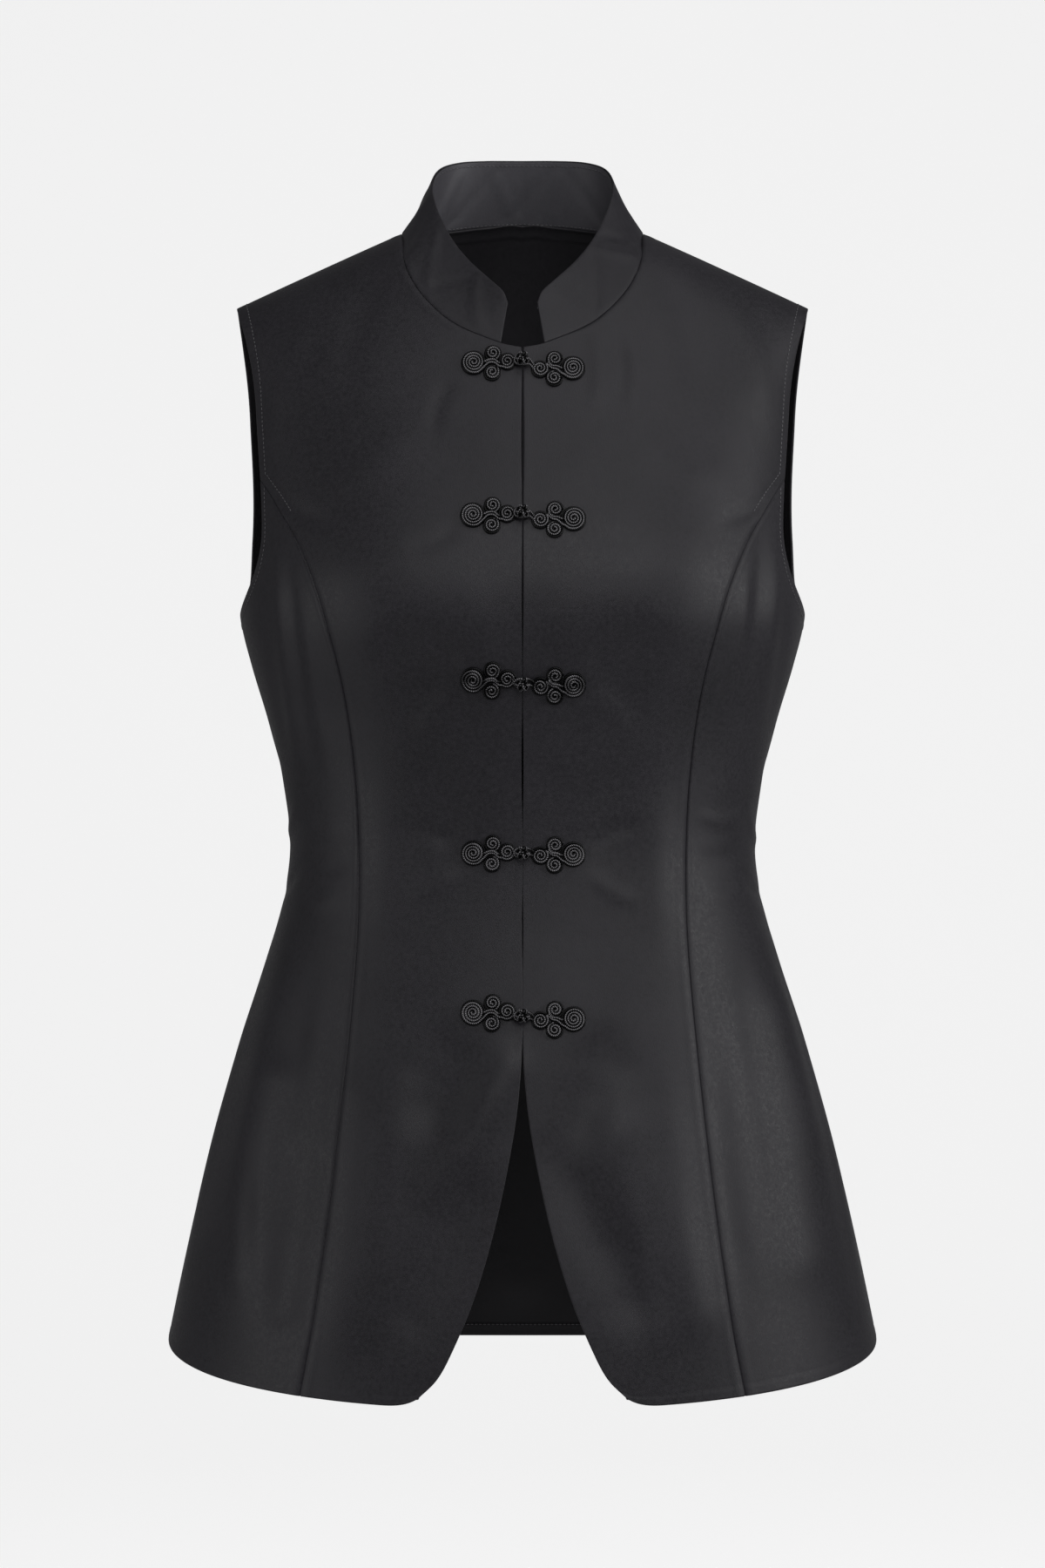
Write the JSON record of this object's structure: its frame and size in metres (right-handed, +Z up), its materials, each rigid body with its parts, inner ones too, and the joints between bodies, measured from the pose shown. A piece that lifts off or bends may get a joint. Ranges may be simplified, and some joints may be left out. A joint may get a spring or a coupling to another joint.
{
  "type": "mandarin collar top",
  "caption": "Sleeveless fitted top in dark satin with a stand collar, princess seams, a curved front vent and knotted frog fastenings.",
  "frame": {"origin": "midway between the two high shoulder points, where the wearer's shoulders hold the top", "axes": "+Z up, +Y towards the wearer's back, +X towards the wearer's left, at the right of the front view"},
  "size_m": [0.429, 0.2736, 0.7449],
  "materials": {
    "satin": "charcoal black satin with a soft sheen and a fine weave",
    "satin_inside": "the same satin on the inside of the collar, a little duller",
    "cord": "black twisted rayon cord with fine highlights"
  },
  "bodies": {
    "root": {"front_left": "satin", "front_right": "satin", "side_front_left": "satin", "side_front_right": "satin", "back": "satin", "collar_outer": "satin", "collar_inner": "satin_inside", "frog_1_knot": "cord", "frog_1_loop": "cord", "frog_2_knot": "cord", "frog_2_loop": "cord", "frog_3_knot": "cord", "frog_3_loop": "cord", "frog_4_knot": "cord", "frog_4_loop": "cord", "frog_5_knot": "cord", "frog_5_loop": "cord"}
  },
  "joints": []
}
